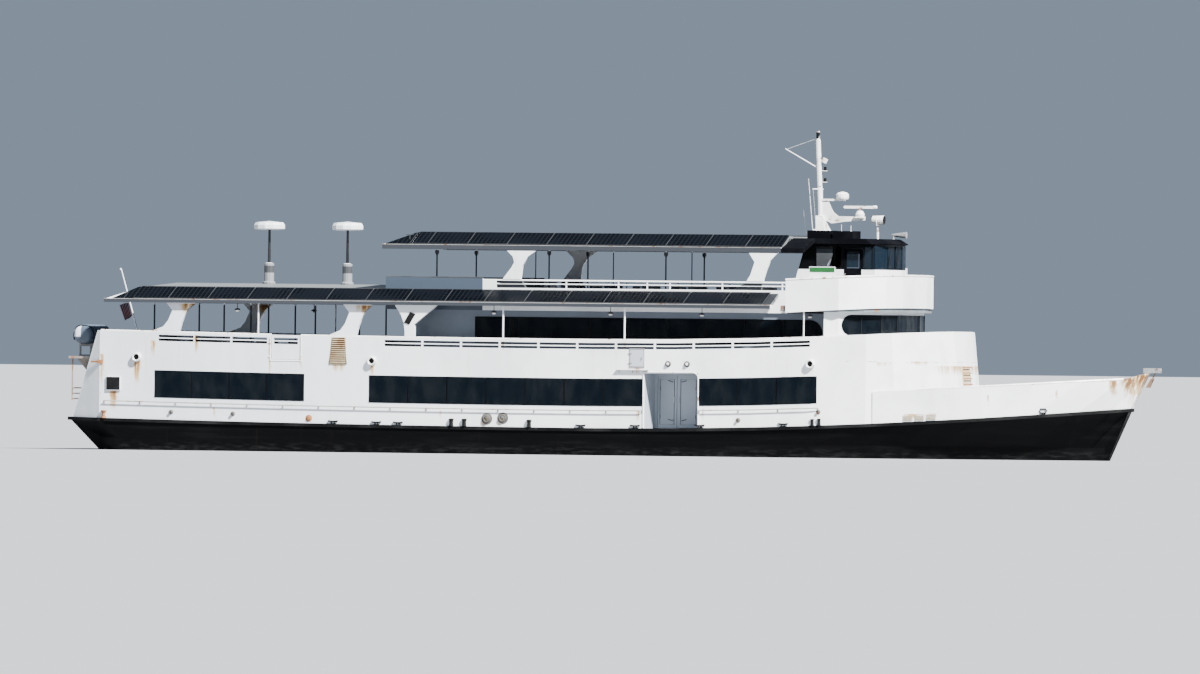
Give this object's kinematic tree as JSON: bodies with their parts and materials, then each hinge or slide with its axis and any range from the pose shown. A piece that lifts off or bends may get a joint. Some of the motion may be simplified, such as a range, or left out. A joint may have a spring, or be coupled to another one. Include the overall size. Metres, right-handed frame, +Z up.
{
  "type": "passenger ferry",
  "caption": "Three-deck passenger ferry afloat: black hull, white decks, dark window strips, solar canopies on pillars, pilothouse with mast.",
  "frame": {"origin": "on the waterline, on the centreline, at the middle of the length", "axes": "+X towards the bow, +Y to port, +Z up"},
  "size_m": [39.215, 9.5, 13.4517],
  "materials": {
    "white_paint": "glossy white marine paint, chalked and rust-streaked",
    "hull_black": "black hull paint, scuffed and salt-stained",
    "roof_black": "black painted roof",
    "deck_paint": "matt grey deck paint with grit",
    "tinted_glass": "dark tinted window glass",
    "solar_glass": "dark solar cells under glass",
    "galvanised_steel": "dull galvanised steel",
    "rusted_steel": "painted steel, rusted through",
    "cover_fabric": "faded blue-grey cover cloth",
    "seat_plastic": "moulded grey-blue seat plastic",
    "bronze": "propeller bronze"
  },
  "bodies": {
    "root": {"hull": "hull_black", "rub_rail": "white_paint", "side_plating_starboard": "white_paint", "side_plating_port": "white_paint", "stern_plating": "white_paint", "house_front_plating": "white_paint", "bow_bulwark": "white_paint", "vestibule_starboard": "white_paint", "vestibule_port": "white_paint", "second_deck": "deck_paint", "saloon_side_starboard": "white_paint", "saloon_side_port": "white_paint", "saloon_glass_starboard": "tinted_glass", "saloon_glass_port": "tinted_glass", "saloon_front": "white_paint", "saloon_front_glass": "tinted_glass", "saloon_aft_bulkhead": "white_paint", "third_deck": "deck_paint", "lower_canopy": "white_paint", "top_deck_bulwark": "white_paint", "upper_canopy": "white_paint", "lower_solar_panels_starboard": "solar_glass", "lower_solar_panels_port": "solar_glass", "upper_solar_panels_starboard": "solar_glass", "upper_solar_panels_port": "solar_glass", "bridge_wing_bulwark": "white_paint", "pilothouse": "white_paint", "pilothouse_glass": "tinted_glass", "pilothouse_roof": "roof_black", "mast": "white_paint", "searchlight": "white_paint", "horn": "galvanised_steel", "vent_post_aft": "white_paint", "vent_post_fore": "white_paint", "shaft_bracket_starboard": "hull_black", "shaft_bracket_port": "hull_black", "bow_chock": "galvanised_steel", "anchor": "rusted_steel", "stern_platform": "rusted_steel", "covered_raft": "cover_fabric", "flagstaff": "white_paint", "main_saloon_seats": "seat_plastic", "second_deck_seats": "seat_plastic", "top_deck_seats": "seat_plastic", "helm_console": "deck_paint"},
    "propeller_starboard": {"propeller_starboard": "bronze"},
    "rudder_starboard": {"rudder_starboard": "hull_black"},
    "boarding_door_aft_starboard": {"boarding_door_aft_starboard": "white_paint"},
    "boarding_door_fore_starboard": {"boarding_door_fore_starboard": "white_paint"},
    "bulwark_gate_starboard": {"bulwark_gate_starboard": "white_paint"},
    "pilothouse_door_starboard": {"pilothouse_door_starboard": "white_paint"},
    "propeller_port": {"propeller_port": "bronze"},
    "rudder_port": {"rudder_port": "hull_black"},
    "boarding_door_aft_port": {"boarding_door_aft_port": "white_paint"},
    "boarding_door_fore_port": {"boarding_door_fore_port": "white_paint"},
    "bulwark_gate_port": {"bulwark_gate_port": "white_paint"},
    "pilothouse_door_port": {"pilothouse_door_port": "white_paint"},
    "saloon_aft_door": {"saloon_aft_door": "white_paint"},
    "radar_scanner": {"radar_scanner": "white_paint"}
  },
  "joints": [
    {"name": "propeller_starboard_spin", "type": "hinge", "parent": "root", "child": "propeller_starboard", "pos_m": [-16.6, -1.9, -1.38], "axis": [1, 0, 0], "continuous": true},
    {"name": "rudder_starboard_turn", "type": "hinge", "parent": "root", "child": "rudder_starboard", "pos_m": [-17.45, -1.9, -0.6], "axis": [0, 0, 1], "range_deg": [-35, 35]},
    {"name": "boarding_door_aft_starboard_hinge", "type": "hinge", "parent": "root", "child": "boarding_door_aft_starboard", "pos_m": [2.0595, -3.2525, 1.5], "axis": [0, 0, 1], "range_deg": [-90, 0]},
    {"name": "boarding_door_fore_starboard_hinge", "type": "hinge", "parent": "root", "child": "boarding_door_fore_starboard", "pos_m": [3.5105, -3.2525, 1.5], "axis": [0, 0, 1], "range_deg": [0, 90]},
    {"name": "bulwark_gate_starboard_hinge", "type": "hinge", "parent": "root", "child": "bulwark_gate_starboard", "pos_m": [-11.867, -4.56, 3.7], "axis": [0, 0, 1], "range_deg": [0, 90]},
    {"name": "pilothouse_door_starboard_hinge", "type": "hinge", "parent": "root", "child": "pilothouse_door_starboard", "pos_m": [9.0505, -1.8725, 6.4], "axis": [0, 0, 1], "range_deg": [0, 90]},
    {"name": "propeller_port_spin", "type": "hinge", "parent": "root", "child": "propeller_port", "pos_m": [-16.6, 1.9, -1.38], "axis": [1, 0, 0], "continuous": true},
    {"name": "rudder_port_turn", "type": "hinge", "parent": "root", "child": "rudder_port", "pos_m": [-17.45, 1.9, -0.6], "axis": [0, 0, 1], "range_deg": [-35, 35]},
    {"name": "boarding_door_aft_port_hinge", "type": "hinge", "parent": "root", "child": "boarding_door_aft_port", "pos_m": [2.0595, 3.2525, 1.5], "axis": [0, 0, 1], "range_deg": [0, 90]},
    {"name": "boarding_door_fore_port_hinge", "type": "hinge", "parent": "root", "child": "boarding_door_fore_port", "pos_m": [3.5105, 3.2525, 1.5], "axis": [0, 0, 1], "range_deg": [-90, 0]},
    {"name": "bulwark_gate_port_hinge", "type": "hinge", "parent": "root", "child": "bulwark_gate_port", "pos_m": [-11.867, 4.56, 3.7], "axis": [0, 0, 1], "range_deg": [-90, 0]},
    {"name": "pilothouse_door_port_hinge", "type": "hinge", "parent": "root", "child": "pilothouse_door_port", "pos_m": [9.0505, 1.8725, 6.4], "axis": [0, 0, 1], "range_deg": [-90, 0]},
    {"name": "saloon_aft_door_hinge", "type": "hinge", "parent": "root", "child": "saloon_aft_door", "pos_m": [-6.7225, -0.4195, 4], "axis": [0, 0, 1], "range_deg": [0, 90]},
    {"name": "radar_scanner_spin", "type": "hinge", "parent": "root", "child": "radar_scanner", "pos_m": [8.44, 0, 8.8], "axis": [0, 0, 1], "continuous": true}
  ]
}
